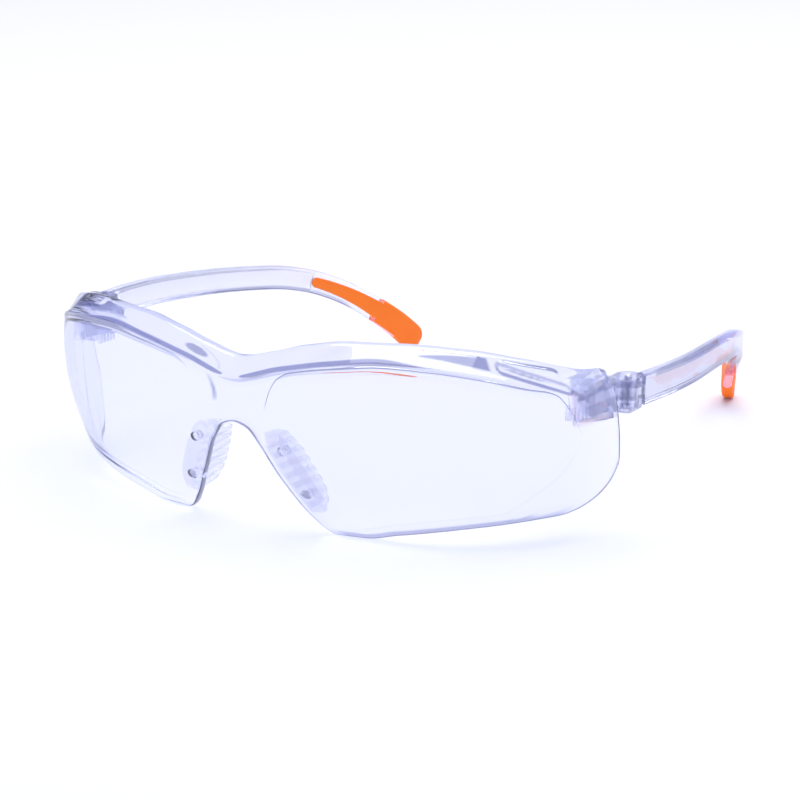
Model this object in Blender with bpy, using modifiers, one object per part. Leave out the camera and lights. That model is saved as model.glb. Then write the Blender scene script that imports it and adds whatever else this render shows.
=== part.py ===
"""Safety glasses, open and standing on the visor's lower edge and the temple tips.

A clear one-piece visor wraps round the face and carries a brow bar, side shields and two hinge lugs. Two soft
ribbed nose pads are pegged into it. At each side a hinge carrier tilts in the lug, a pin joins it to the temple,
and the temple ends in a soft overmoulded tip. Metres, +Z up. The wearer looks along -Y and +X is their left.
"""

import math

import bmesh
import bpy
import numpy as np
from mathutils import Matrix, Vector

MM = 0.001
GAP = 0.3 * MM  # between touching pieces
CENTRE_Y = 81.22 * MM  # the middle of the glasses, front to back, behind the visor's centre line

# Visor. Its surface is addressed by the distance t along the face from the middle, the height z, and the
# depth behind the outer face.
WALL = 2.2 * MM
EDGE_ROUND = 0.5 * MM
SIDE_HEADING = math.radians(82)  # how far the face has turned towards the ears
TURN_LENGTH = 113.7 * MM  # over this distance
SIDE_LENGTH = 92 * MM  # half the visor's length along the face
MID_HEIGHT = 24.5 * MM  # where the face is upright
BULGE = 18.6  # vertical curvature, 1/m
LEAN = 0.203  # the top stands further forward than the bottom
CORNER_START = 74 * MM
CORNER_HEIGHT = 13 * MM
SECTIONS = 42  # lofted sections on each side of the middle
OVERRUN = 1.5 * MM  # how far the first half reaches past the middle before it is mirrored

# Heights along the face: (distance from the middle, height), in millimetres
LOWER_EDGE = [(0, 25.4), (3.2, 24.4), (6, 20.6), (9.3, 13.9), (14.7, 4.6), (18, 1.0), (20, 0), (27, 0)]
LOWER_EDGE += [(36, 1.7), (56, 4.3), (74, 5.2)]
RIDGE = [(0, 35.6), (12, 38.7), (24, 41.2), (36, 42.6), (47, 41.9), (59, 39.9), (70, 36.9), (80, 35), (92, 33.5)]
TOP_EDGE = [(0, 39.8), (8, 41.6), (16, 43.9), (27, 45.5), (41, 45.7), (57, 44.5), (72, 41.7), (92, 37.4)]
TOP_SETBACK = [(0, 2.6), (16, 2.1), (30, 3.0), (60, 3.2), (92, 1.4)]

# Hinge lug of the visor, on its inner face at each side
LUG_START = 71 * MM
LUG_FULL = 77 * MM
LUG_END = 90.5 * MM
LUG_INNER_X = 61.6 * MM
LUG_ROOT = 0.8  # how deep in the visor's wall the lug begins
LUG_LOW = 27.0 * MM
LUG_HIGH = 36.6 * MM
SLOT_FRONT_Y = 34.1 * MM
SLOT_TOP = 35.3 * MM
COMB_TEETH = 5
COMB_PITCH = 1.5 * MM
COMB_WIDTH = 0.8 * MM
COMB_START_Y = 33.8 * MM

# Hinge carrier: a tongue that tilts in the lug, and a fork round the temple's knuckle
TILT_Y = 38.5 * MM
HINGE_Z = 31.0 * MM
HINGE_HALF_HEIGHT = 3.6 * MM
TONGUE_X = 63.9 * MM
TONGUE_THICKNESS = 2.3 * MM
TONGUE_HALF_HEIGHT = 3.3 * MM
TRUNNION_RADIUS = 1.6 * MM
BRIDGE_Y = (44.4 * MM, 46.4 * MM)
FORK_THICKNESS = 2.1 * MM
PIN_X = 69.8 * MM
PIN_Y = 50.0 * MM
PIN_RADIUS = 0.8 * MM
KNUCKLE_RADIUS = 3.2 * MM

# Temple centre line, from the hinge to the tip, in millimetres
TEMPLE_PATH = [(71.7, 53.9, 31.0), (72.5, 65, 30.7), (72.1, 78, 30.1), (69.5, 95.5, 28.8), (66.4, 111.2, 27.0)]
TEMPLE_PATH += [(63.6, 122.4, 25.2), (60.0, 133.3, 21.9), (54.9, 143.4, 16.6), (49.6, 153.4, 9.1), (46.4, 162.4, 1.35)]
TEMPLE_HALF_HEIGHT = [(0, 3.4), (50, 3.1), (85, 3.1), (118, 3.5)]
TEMPLE_HALF_THICKNESS = 1.6 * MM
RIM_HEIGHT = 1.0 * MM
RIM_DEPTH = 0.4 * MM
TONGUE_START = 77.6 * MM  # where the soft tongue begins on the inner face
SLEEVE_START = 100.5 * MM  # where the soft tip takes over the whole section, round the clear core
CORE_END = 111.5 * MM
SOFT_DEPTH = 1.1 * MM
CORE_HALF_THICKNESS = 0.8 * MM
CORE_TOP = 1.2 * MM  # how far the core reaches above the centre line
TIP_ROUND = 3.2 * MM

# Nose pads
PAD_TOP = 24.0 * MM
PAD_BOTTOM = 5.8 * MM
PAD_RIBS = 8
PAD_OFFSET = 0.8 * MM  # from the nose arch's edge to the pad
PAD_FLANGE = 6.6 * MM
PAD_DEPTH = 9.4 * MM
PAD_LEAN = 0.12  # how far the web leans away from the nose over its depth
RIB_DEPTH = 0.45 * MM
PEGS = [(11.2 * MM, 20.2 * MM), (14.9 * MM, 10.2 * MM)]
PEG_RADIUS = 1.0 * MM

CLEAR = ("clear_polycarbonate", (0.86, 0.88, 0.97, 0.3), 0.03, 0.0)
SOFT_CLEAR = ("clear_soft_pvc", (0.84, 0.86, 0.95, 0.5), 0.25, 0.0)
ORANGE = ("orange_soft_tpe", (1.0, 0.2, 0.02, 1.0), 0.45, 0.0)
STEEL = ("pin_steel", (0.3, 0.3, 0.34, 1.0), 0.3, 1.0)


def clear_scene():
    for item in list(bpy.data.objects):
        bpy.data.objects.remove(item, do_unlink=True)


def collection(name):
    made = bpy.data.collections.new(name)
    bpy.context.scene.collection.children.link(made)
    return made


def material(name, color, roughness, metallic):
    found = bpy.data.materials.get(name)
    if found:
        return found
    made = bpy.data.materials.new(name)
    made.use_nodes = True
    shader = made.node_tree.nodes["Principled BSDF"]
    shader.inputs["Base Color"].default_value = (*color[:3], 1.0)
    shader.inputs["Alpha"].default_value = color[3]
    shader.inputs["Roughness"].default_value = roughness
    shader.inputs["Metallic"].default_value = metallic
    made.diffuse_color = color
    return made


def smooth_curve(points):
    """A smooth function through points in millimetres that never overshoots them, in metres."""
    xs, ys = np.array(points, float).T * MM
    slopes = np.diff(ys) / np.diff(xs)
    tangents = np.zeros(len(xs))
    for i in range(1, len(xs) - 1):
        if slopes[i - 1] * slopes[i] > 0:
            tangents[i] = 2 / (1 / slopes[i - 1] + 1 / slopes[i])

    def value(x):
        i = int(np.clip(np.searchsorted(xs, x) - 1, 0, len(xs) - 2))
        width = xs[i + 1] - xs[i]
        u = min(max((x - xs[i]) / width, 0), 1)
        start = (1 + 2 * u) * (1 - u) ** 2 * ys[i] + u * (1 - u) ** 2 * width * tangents[i]
        return start + u * u * (3 - 2 * u) * ys[i + 1] + u * u * (u - 1) * width * tangents[i + 1]

    return value


lower_edge_front = smooth_curve(LOWER_EDGE)
ridge_height = smooth_curve(RIDGE)
top_height = smooth_curve(TOP_EDGE)
top_setback = smooth_curve(TOP_SETBACK)
temple_half_height = smooth_curve(TEMPLE_HALF_HEIGHT)


def lower_edge(t):
    """The visor's lower edge: the nose arch, the long edge and the rounded rear corner."""
    if t <= CORNER_START:
        return lower_edge_front(t)
    u = min((t - CORNER_START) / (SIDE_LENGTH - CORNER_START), 1)
    return lower_edge_front(CORNER_START) + CORNER_HEIGHT * (1 - math.sqrt(1 - u * u))


def heading(t):
    return SIDE_HEADING / 2 * (1 - math.cos(math.pi * t / TURN_LENGTH))


def plan_table(step=0.25 * MM):
    """Distances along the face with the x and y of its outline seen from above."""
    ts = np.arange(0, SIDE_LENGTH + 10 * MM, step)
    turns = np.array([heading(t + step / 2) for t in ts])
    xs = np.concatenate([[0], np.cumsum(np.cos(turns) * step)[:-1]])
    ys = np.concatenate([[0], np.cumsum(np.sin(turns) * step)[:-1]])
    return ts, xs, ys


PLAN_T, PLAN_X, PLAN_Y = plan_table()


def on_visor(t, z, depth, side=1):
    """The point at distance t, height z and this depth behind the visor's outer face."""
    turn = heading(t)
    inward = BULGE * (z - MID_HEIGHT) ** 2 / 2 + depth
    x = np.interp(t, PLAN_T, PLAN_X) - math.sin(turn) * inward
    y = np.interp(t, PLAN_T, PLAN_Y) + math.cos(turn) * inward - LEAN * (z - MID_HEIGHT)
    return Vector((side * x, y, z))


def loft(sections):
    """A closed body through sections with the same number of points, with flat ends."""
    made = bmesh.new()
    rings = [[made.verts.new(point) for point in section] for section in sections]
    for ring, after in zip(rings, rings[1:]):
        for i in range(len(ring)):
            j = (i + 1) % len(ring)
            made.faces.new((ring[i], ring[j], after[j], after[i]))
    made.faces.new(rings[0])
    made.faces.new(rings[-1])
    bmesh.ops.recalc_face_normals(made, faces=made.faces)
    return made


def new_object(name, made, target, finish=None, origin=(0, 0, 0)):
    """An object from a bmesh in the glasses' own frame, with its origin at a point of that frame."""
    bmesh.ops.translate(made, verts=made.verts, vec=-Vector(origin))
    bmesh.ops.triangulate(made, faces=[f for f in made.faces if len(f.verts) > 4])
    mesh = bpy.data.meshes.new(name)
    made.to_mesh(mesh)
    made.free()
    item = bpy.data.objects.new(name, mesh)
    item.location = Vector(origin) - Vector((0, CENTRE_Y, 0))
    target.objects.link(item)
    if finish:
        mesh.materials.append(material(*finish))
        mesh.shade_smooth()
        mesh.set_sharp_from_angle(angle=math.radians(35))
    return item


def box(low, high):
    made = bmesh.new()
    size = Vector(high) - Vector(low)
    middle = (Vector(high) + Vector(low)) / 2
    bmesh.ops.create_cube(made, size=1, matrix=Matrix.LocRotScale(middle, None, size))
    return made


def rod(start, end, radius, segments=24):
    """A cylinder between two points."""
    made = bmesh.new()
    start, end = Vector(start), Vector(end)
    turn = Vector((0, 0, 1)).rotation_difference(end - start)
    place = Matrix.LocRotScale((start + end) / 2, turn, None)
    length = (end - start).length
    bmesh.ops.create_cone(
        made, cap_ends=True, segments=segments, radius1=radius, radius2=radius, depth=length, matrix=place
    )
    return made


def plate(outline, thickness, place):
    """A flat plate from a 2D outline, made as a filled curve and turned into a mesh."""
    curve = bpy.data.curves.new("outline", "CURVE")
    curve.dimensions = "2D"
    curve.fill_mode = "BOTH"
    curve.extrude = thickness / 2
    spline = curve.splines.new("POLY")
    spline.points.add(len(outline) - 1)
    for point, (u, v) in zip(spline.points, outline):
        point.co = (u, v, 0, 1)
    spline.use_cyclic_u = True
    guide = bpy.data.objects.new("outline", curve)
    bpy.context.scene.collection.objects.link(guide)
    bpy.context.view_layer.update()
    mesh = bpy.data.meshes.new_from_object(guide.evaluated_get(bpy.context.evaluated_depsgraph_get()))
    made = bmesh.new()
    made.from_mesh(mesh)
    bmesh.ops.remove_doubles(made, verts=made.verts, dist=0.01 * MM)
    bmesh.ops.transform(made, matrix=place, verts=made.verts)
    bmesh.ops.recalc_face_normals(made, faces=made.faces)
    bpy.data.objects.remove(guide)
    bpy.data.meshes.remove(mesh)
    return made


def arc(centre, radius, start, end, steps):
    """Points on a circle between two angles in degrees."""
    turns = [math.radians(start + (end - start) * i / steps) for i in range(steps + 1)]
    return [(centre[0] + radius * math.cos(a), centre[1] + radius * math.sin(a)) for a in turns]


def combine(item, operation, others, cutters):
    """Joins or cuts with hidden helper objects, one exact Boolean each."""
    for i, made in enumerate(others):
        helper = new_object(f"{item.name}_{operation.lower()}_{i}", made, cutters)
        helper.hide_render = True
        helper.display_type = "WIRE"
        step = item.modifiers.new(f"{operation.lower()} {i}", "BOOLEAN")
        step.operation = operation
        step.object = helper


def visor_section(t, side):
    """The visor cut across at distance t: outer face, brow bar, inner face and lower edge."""
    low, ridge, top, back = lower_edge(t), ridge_height(t), top_height(t), top_setback(t)
    face = np.array([0, 0.12, 0.3, 0.5, 0.7, 0.88, 1])
    step = 0.9 * MM
    outline = [(z, 0) for z in low + EDGE_ROUND + (ridge - low - EDGE_ROUND) * face]
    outline.append((ridge + step, step))
    outline.append(((ridge + top) / 2, (step + back) / 2))
    outline.append((top - step, back))
    outline.append((top, back + 1.1 * MM))
    outline.append((top - 0.2 * MM, back + 2.6 * MM))
    outline.append((top - 1.8 * MM, back + 3.2 * MM))
    under = ridge - 1.0 * MM
    outline += [(z, WALL) for z in low + EDGE_ROUND + (under - low - EDGE_ROUND) * face[::-1]]
    outline.append((low, WALL - EDGE_ROUND))
    outline.append((low, EDGE_ROUND))
    return [on_visor(t, z, depth, side) for z, depth in outline]


def visor_distances():
    """Section distances from the middle, closer together at the nose arch and the rear corner."""
    even = np.linspace(0, 1, SECTIONS)
    return SIDE_LENGTH * (even - 0.09 * np.sin(2 * math.pi * even))


def lug_section(t):
    """The lug between the middle of the visor's wall and a flat inner face, thicker and deeper to the rear."""
    grown = min((t - LUG_START) / (LUG_FULL - LUG_START), 1)
    low = LUG_LOW + 3.0 * MM * (1 - grown)
    corners = [on_visor(t, z, LUG_ROOT * WALL) for z in (low, LUG_HIGH)]
    wall_x = on_visor(t, HINGE_Z, WALL).x
    inner_x = wall_x - 0.5 * MM + (LUG_INNER_X - wall_x + 0.5 * MM) * grown
    corners += [Vector((inner_x, corner.y, corner.z)) for corner in reversed(corners)]
    return corners


def comb_tooth(i):
    start = COMB_START_Y + i * COMB_PITCH
    low = (LUG_INNER_X - 0.7 * MM, start, LUG_LOW - 0.6 * MM)
    return box(low, (LUG_INNER_X + 0.6 * MM, start + COMB_WIDTH, LUG_LOW + 2.4 * MM))


def visor(parts, cutters):
    """The wearer's left half, a little past the middle, with its lug, comb and holes, then mirrored."""
    sections = [visor_section(OVERRUN, -1)] + [visor_section(t, 1) for t in visor_distances()[1:]]
    item = new_object("visor", loft(sections), parts, CLEAR)
    lug = loft([lug_section(t) for t in np.linspace(LUG_START, LUG_END, 9)])
    combine(item, "UNION", [lug] + [comb_tooth(i) for i in range(COMB_TEETH)], cutters)
    slot_end = TONGUE_X + TONGUE_THICKNESS + GAP
    slot = box((TONGUE_X - GAP, SLOT_FRONT_Y, LUG_LOW - 4 * MM), (slot_end, BRIDGE_Y[1], SLOT_TOP))
    hole = rod(
        (LUG_INNER_X - 2 * MM, TILT_Y, HINGE_Z), (TONGUE_X + 1 * MM, TILT_Y, HINGE_Z), TRUNNION_RADIUS + GAP
    )
    pegs = [
        rod(on_visor(t, z, -2 * MM), on_visor(t, z, WALL + 1 * MM), PEG_RADIUS + GAP, 16) for t, z in PEGS
    ]
    combine(item, "DIFFERENCE", [slot, hole] + pegs, cutters)
    halves = item.modifiers.new("other half", "MIRROR")
    halves.use_axis = (True, False, False)
    halves.use_bisect_axis = (True, False, False)
    halves.merge_threshold = 0.01 * MM


def arch_distance(z):
    """How far from the middle the nose arch's edge is at this height."""
    ts = np.linspace(0, 20.5 * MM, 200)
    heights = [lower_edge(t) for t in ts]
    return float(np.interp(-z, -np.array(heights), ts))


def pad_section(z, side):
    """The pad cut across at one height: a flange on the visor and a web that leans away from the nose."""
    along = (z - PAD_BOTTOM) / (PAD_TOP - PAD_BOTTOM)
    end = math.sqrt(1 - abs(2 * along - 1) ** 3 * 0.85)
    rib = RIB_DEPTH * math.cos(2 * math.pi * PAD_RIBS * along)
    depth = PAD_DEPTH * end + rib
    root = arch_distance(min(z, 20.6 * MM)) + PAD_OFFSET
    lean = PAD_LEAN * depth
    flange = PAD_FLANGE * (0.6 + 0.4 * end)
    outline = [(0, 0), (flange, 0), (flange, 1.1 * MM), (2.4 * MM, 1.3 * MM)]
    outline += [(lean + 1.9 * MM, depth * 0.85), (lean + 1.2 * MM, depth), (lean + 0.4 * MM, depth)]
    outline += [(lean * 0.85 - rib, depth * 0.85), (lean * 0.5 - rib, depth * 0.5), (0.2 * MM, 1.5 * MM)]
    return [on_visor(root + a, z, WALL + GAP + b, side) for a, b in outline]


def nose_pad(name, side, parts, cutters):
    heights = np.linspace(PAD_BOTTOM, PAD_TOP, PAD_RIBS * 4 + 1)
    item = new_object(name, loft([pad_section(z, side) for z in heights]), parts, SOFT_CLEAR)
    pegs = [
        rod(on_visor(t, z, 0.4 * MM, side), on_visor(t, z, WALL + 0.9 * MM, side), PEG_RADIUS, 16)
        for t, z in PEGS
    ]
    combine(item, "UNION", pegs, cutters)


def carrier(name, side, parts, cutters):
    """The tongue with its trunnion, a bridge behind the visor's edge, and the fork's two lugs."""
    low, high = HINGE_Z - HINGE_HALF_HEIGHT, HINGE_Z + HINGE_HALF_HEIGHT
    bridge_start, bridge_end = BRIDGE_Y
    outline = arc((TILT_Y, HINGE_Z), TONGUE_HALF_HEIGHT, 90, 270, 12)
    tongue_end = bridge_end - 0.5 * MM
    outline += [(tongue_end, HINGE_Z - TONGUE_HALF_HEIGHT), (tongue_end, HINGE_Z + TONGUE_HALF_HEIGHT)]
    upright = Matrix(((0, 0, 1), (1, 0, 0), (0, 1, 0))).to_4x4()
    middle = side * (TONGUE_X + TONGUE_THICKNESS / 2)
    tongue = plate(outline, TONGUE_THICKNESS, Matrix.Translation((middle, 0, 0)) @ upright)
    item = new_object(name, tongue, parts, CLEAR, (side * PIN_X, TILT_Y, HINGE_Z))
    inset = 0.2 * MM
    xs = sorted((side * (TONGUE_X + inset), side * (PIN_X + KNUCKLE_RADIUS - inset)))
    joined = [box((xs[0], bridge_start, low + inset), (xs[1], bridge_end, high - inset))]
    fork = arc((0, PIN_Y), KNUCKLE_RADIUS, 0, 180, 16)
    fork += [(-KNUCKLE_RADIUS, bridge_start + inset), (KNUCKLE_RADIUS, bridge_start + inset)]
    for z in (low + FORK_THICKNESS / 2, high - FORK_THICKNESS / 2):
        joined.append(plate(fork, FORK_THICKNESS, Matrix.Translation((side * PIN_X, 0, z))))
    trunnion_end = side * (LUG_INNER_X + GAP)
    joined.append(rod((trunnion_end, TILT_Y, HINGE_Z), (middle, TILT_Y, HINGE_Z), TRUNNION_RADIUS))
    combine(item, "UNION", joined, cutters)
    bore = rod((side * PIN_X, PIN_Y, low - 1 * MM), (side * PIN_X, PIN_Y, high + 1 * MM), PIN_RADIUS + GAP)
    combine(item, "DIFFERENCE", [bore], cutters)


def hinge_pin(name, side, parts):
    reach = HINGE_HALF_HEIGHT - 0.2 * MM
    ends = [(side * PIN_X, PIN_Y, HINGE_Z + sign * reach) for sign in (-1, 1)]
    new_object(name, rod(*ends, PIN_RADIUS), parts, STEEL, (side * PIN_X, PIN_Y, HINGE_Z))


def temple_line(steps=240):
    """The temple's centre line: distances along it and points on a smooth curve through its own points."""
    marks = [Vector(p) * MM for p in TEMPLE_PATH]
    marks = [2 * marks[0] - marks[1]] + marks + [2 * marks[-1] - marks[-2]]
    points = []
    for i in range(steps + 1):
        u = i / steps * (len(marks) - 3)
        k = min(int(u), len(marks) - 4)
        a, b, c, d = marks[k : k + 4]
        u -= k
        points.append(
            (b * 2 + (c - a) * u + (a * 2 - b * 5 + c * 4 - d) * u**2 + (b * 3 - a - c * 3 + d) * u**3) / 2
        )
    distances = np.concatenate([[0], np.cumsum([(q - p).length for p, q in zip(points, points[1:])])])
    return distances, np.array(points)


TEMPLE_S, TEMPLE_POINTS = temple_line()
TEMPLE_LENGTH = float(TEMPLE_S[-1])


def on_temple(s, section, side):
    """Section points (outwards, upwards) placed across the temple's centre line at distance s."""
    place = Vector([np.interp(s, TEMPLE_S, TEMPLE_POINTS[:, i]) for i in range(3)])
    ahead = Vector([np.interp(s + MM, TEMPLE_S, TEMPLE_POINTS[:, i]) for i in range(3)])
    behind = Vector([np.interp(s - MM, TEMPLE_S, TEMPLE_POINTS[:, i]) for i in range(3)])
    along = (ahead - behind).normalized()
    out = along.cross(Vector((0, 0, 1))).normalized()
    up = out.cross(along)
    points = [place + out * a + up * b for a, b in section]
    return [Vector((side * p.x, p.y, p.z)) for p in points]


def arm_section(s):
    """The clear arm: shallow channels between rims, a pocket for the soft tongue, then a bare core."""
    half, outer, inner, bevel = temple_half_height(s), TEMPLE_HALF_THICKNESS, -TEMPLE_HALF_THICKNESS, 0.4 * MM
    high, pocket, channel = half, 0.05 * MM, RIM_DEPTH
    if s > TONGUE_START:
        pocket = SOFT_DEPTH + GAP
    if s > SLEEVE_START - GAP:
        high, outer, inner = CORE_TOP, CORE_HALF_THICKNESS, inner + SOFT_DEPTH + GAP
        pocket, channel = 0.05 * MM, 0.05 * MM
    if s > SLEEVE_START + GAP:
        inner = -CORE_HALF_THICKNESS
    low_rim, high_rim = -half + RIM_HEIGHT, high - RIM_HEIGHT
    low_wall, high_wall = low_rim + 0.15 * MM, high_rim - 0.15 * MM
    section = [(outer, -half + bevel), (outer, low_rim), (outer - channel, low_wall), (outer - channel, high_wall)]
    section += [(outer, high_rim), (outer, high - bevel), (outer - bevel, high), (inner + bevel, high)]
    section += [(inner, high - bevel), (inner, high_rim), (inner + pocket, high_wall), (inner + pocket, low_wall)]
    section += [(inner, low_rim), (inner, -half + bevel), (inner + bevel, -half), (outer - bevel, -half)]
    return section


def tip_section(s):
    """The soft tip: a thin tongue on the inner face, then the temple's whole section."""
    half, inner, outer, bevel = temple_half_height(s), -TEMPLE_HALF_THICKNESS, TEMPLE_HALF_THICKNESS, 0.4 * MM
    if s < SLEEVE_START:
        half, outer = half - RIM_HEIGHT - GAP - 0.15 * MM, inner + SOFT_DEPTH
    left = TEMPLE_LENGTH - s
    if left < TIP_ROUND:
        half *= math.sqrt(max(1 - (1 - left / TIP_ROUND) ** 2, 0.04))
    section = [(outer - bevel, -half), (outer, -half + bevel), (outer, half - bevel), (outer - bevel, half)]
    section += [(inner + bevel, half), (inner, half - bevel), (inner, -half + bevel), (inner + bevel, -half)]
    return section


def slot_section(s):
    """The slot along the tip's lower edge that shows the clear core."""
    half, low, high = CORE_HALF_THICKNESS + GAP, -temple_half_height(s) - 1 * MM, CORE_TOP + GAP
    return [(-half, low), (half, low), (half, high), (-half, high)]


def stops(start, end, spacing, jumps):
    """Distances from start to end, with a close pair at each place where the section changes at once."""
    edges = [start] + [j for j in jumps if start < j < end] + [end]
    found = []
    for low, high in zip(edges, edges[1:]):
        count = max(int(round((high - low) / spacing)), 1)
        found += list(np.linspace(low, high, count, endpoint=False) + 0.05 * MM)
        found.append(high - 0.05 * MM)
    return found


def temple(name, side, parts, cutters):
    distances = stops(0, CORE_END, 3 * MM, (TONGUE_START, SLEEVE_START - GAP, SLEEVE_START + GAP))
    arm = loft([on_temple(s, arm_section(s), side) for s in distances])
    item = new_object(name, arm, parts, CLEAR, (side * PIN_X, PIN_Y, HINGE_Z))
    half = HINGE_HALF_HEIGHT - FORK_THICKNESS - GAP
    knuckle = rod(
        (side * PIN_X, PIN_Y, HINGE_Z - half), (side * PIN_X, PIN_Y, HINGE_Z + half), KNUCKLE_RADIUS, 32
    )
    xs = sorted((side * (PIN_X - 0.5 * MM), side * (PIN_X + KNUCKLE_RADIUS - 0.05 * MM)))
    neck_half = half - 0.1 * MM
    neck = box((xs[0], PIN_Y, HINGE_Z - neck_half), (xs[1], PIN_Y + 5.2 * MM, HINGE_Z + neck_half))
    combine(item, "UNION", [knuckle, neck], cutters)
    reach = HINGE_HALF_HEIGHT + 1 * MM
    bore = rod(
        (side * PIN_X, PIN_Y, HINGE_Z - reach), (side * PIN_X, PIN_Y, HINGE_Z + reach), PIN_RADIUS + GAP
    )
    combine(item, "DIFFERENCE", [bore], cutters)


def temple_tip(name, side, parts, cutters):
    start = TONGUE_START + GAP + 0.1 * MM
    distances = stops(start, TEMPLE_LENGTH, 2.2 * MM, (SLEEVE_START, TEMPLE_LENGTH - TIP_ROUND))
    distances = sorted(distances + [TEMPLE_LENGTH - TIP_ROUND * f for f in (0.55, 0.3, 0.12)])
    tip = loft([on_temple(s, tip_section(s), side) for s in distances])
    item = new_object(name, tip, parts, ORANGE, (side * PIN_X, PIN_Y, HINGE_Z))
    distances = stops(SLEEVE_START - 0.2 * MM, CORE_END + GAP, 2.2 * MM, ())
    combine(item, "DIFFERENCE", [loft([on_temple(s, slot_section(s), side) for s in distances])], cutters)


def main():
    clear_scene()
    parts = collection("safety_glasses")
    cutters = collection("helpers")
    cutters.hide_render = True
    visor(parts, cutters)
    for name, side in (("left", 1), ("right", -1)):
        nose_pad(f"nose_pad_{name}", side, parts, cutters)
        carrier(f"hinge_carrier_{name}", side, parts, cutters)
        hinge_pin(f"hinge_pin_{name}", side, parts)
        temple(f"temple_{name}", side, parts, cutters)
        temple_tip(f"temple_tip_{name}", side, parts, cutters)


main()
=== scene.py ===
import math

import bmesh
import bpy
import numpy as np
from mathutils import Matrix, Vector


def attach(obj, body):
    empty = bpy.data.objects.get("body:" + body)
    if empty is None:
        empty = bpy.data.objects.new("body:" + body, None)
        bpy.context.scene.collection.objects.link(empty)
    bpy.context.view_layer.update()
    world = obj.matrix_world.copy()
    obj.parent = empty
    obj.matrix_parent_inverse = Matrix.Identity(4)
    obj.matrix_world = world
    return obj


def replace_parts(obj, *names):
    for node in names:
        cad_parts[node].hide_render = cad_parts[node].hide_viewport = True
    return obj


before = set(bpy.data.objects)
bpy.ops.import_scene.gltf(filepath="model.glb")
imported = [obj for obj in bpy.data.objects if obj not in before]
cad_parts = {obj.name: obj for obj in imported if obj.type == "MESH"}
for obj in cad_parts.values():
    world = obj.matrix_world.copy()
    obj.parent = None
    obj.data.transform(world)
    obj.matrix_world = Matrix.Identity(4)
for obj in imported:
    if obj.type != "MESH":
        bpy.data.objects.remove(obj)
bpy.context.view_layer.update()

MM = 0.001
# All sizes below are in millimetres. Points are written in the visor's own frame, whose y starts at the
# middle of the lens. CENTRE_Y takes them to the row frame.
CENTRE_Y = 81.22

# Camera: angles, place in metres, sensor and lens
AZIMUTH, ELEVATION, ROLL = math.radians(29.824787), math.radians(15.67905), math.radians(0.585672)
CAMERA_PLACE = (0.314675, -0.557923, 0.190759)
SENSOR, LENS = 36.0, 124.2

QUARTER = np.radians([0, 22, 45, 68, 90])  # steps round a quarter circle
PAINTED_SHADE_COLOR = (0.15, 0.165, 0.33)  # painted shade that clear plastic shows along its moulded edges, ridge and pockets

# Visor surface: distance t along the face from the middle, height z, depth behind the outer face
WALL = 2.2
SIDE_HEADING = math.radians(82)
TURN_LENGTH = 113.7
SIDE_LENGTH = 92.0
MID_HEIGHT = 24.5
BULGE = 0.0186
LEAN = 0.203
CORNER_START = 74.0
CORNER_HEIGHT = 13.0
LOWER_EDGE = [(0, 25.4), (3.2, 24.4), (6, 20.6), (9.3, 13.9), (14.7, 4.6), (18, 1.0), (20, 0), (27, 0)]
LOWER_EDGE += [(36, 1.7), (56, 4.3), (74, 5.2)]
RIDGE = [(0, 35.6), (12, 38.7), (24, 41.2), (36, 42.6), (47, 41.9), (59, 39.9), (70, 36.9)]
RIDGE += [(80, 35), (92, 33.5)]
TOP_EDGE = [(0, 39.8), (8, 41.6), (16, 43.9), (27, 45.5), (41, 45.7), (57, 44.5), (72, 41.7), (92, 37.4)]
TOP_SETBACK = [(0, 2.6), (16, 2.1), (30, 3.0), (60, 3.2), (92, 1.4)]
EDGE_ROUND = 0.7
STEEPEST = 2.6  # how many times longer the rounding gets where the lower edge is steep
REAR_ROUND = 0.4
RIDGE_STEP = 0.95  # bevel between the lens face and the brow
REAR_WALL = 1.0  # the wall thins towards the rear edge
# Optical zone: a shallow recess of the outer face between these two boundaries
ZONE_DEPTH = 0.15
ZONE_EDGE = 0.28  # width of the step round it
ZONE_LOW_EDGE = 1.08  # and along the bottom
ZONE_TOP_DROP = [(7.6, 9.5), (8.6, 7.5), (10, 4), (12, 1.7), (15, 0.75), (72, 0.75), (75, 1.3)]
ZONE_TOP_DROP += [(78, 4.5), (81.5, 11.5)]
ZONE_LOW_RISE = [(18, 1.9), (24, 1.9), (31, 3.0), (46, 3.3), (59.5, 3.0), (69.5, 7.7), (74.5, 10.9)]
ZONE_LOW_RISE += [(81.5, 17.6)]
# Pockets moulded into the back of the brow: (start, end, depth)
POCKETS = [(44.0, 60.5, 0.35), (62.5, 79.0, 0.4)]


def through(points):
    """A smooth function through points that never overshoots them."""
    xs, ys = np.array(points, float).T
    slopes = np.diff(ys) / np.diff(xs)
    tangents = np.zeros(len(xs))
    for i in range(1, len(xs) - 1):
        if slopes[i - 1] * slopes[i] > 0:
            tangents[i] = 2 / (1 / slopes[i - 1] + 1 / slopes[i])

    def value(x):
        x = np.asarray(x, float)
        i = np.clip(np.searchsorted(xs, x) - 1, 0, len(xs) - 2)
        width = xs[i + 1] - xs[i]
        u = np.clip((x - xs[i]) / width, 0, 1)
        start = (1 + 2 * u) * (1 - u) ** 2 * ys[i] + u * (1 - u) ** 2 * width * tangents[i]
        return start + u * u * (3 - 2 * u) * ys[i + 1] + u * u * (u - 1) * width * tangents[i + 1]

    return value


lower_front, ridge_at, top_at, setback_at = (
    through(points) for points in (LOWER_EDGE, RIDGE, TOP_EDGE, TOP_SETBACK)
)
zone_drop, zone_rise = through(ZONE_TOP_DROP), through(ZONE_LOW_RISE)


def lower_edge(t):
    """Height of the visor's lower edge: the nose arch, the long edge and the rounded rear corner."""
    u = np.clip((t - CORNER_START) / (SIDE_LENGTH - CORNER_START), 0, 1)
    return lower_front(t) + CORNER_HEIGHT * (1 - np.sqrt(1 - u * u))


def heading(t):
    """How far the face has turned towards the ears."""
    return SIDE_HEADING / 2 * (1 - np.cos(np.pi * t / TURN_LENGTH))


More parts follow.
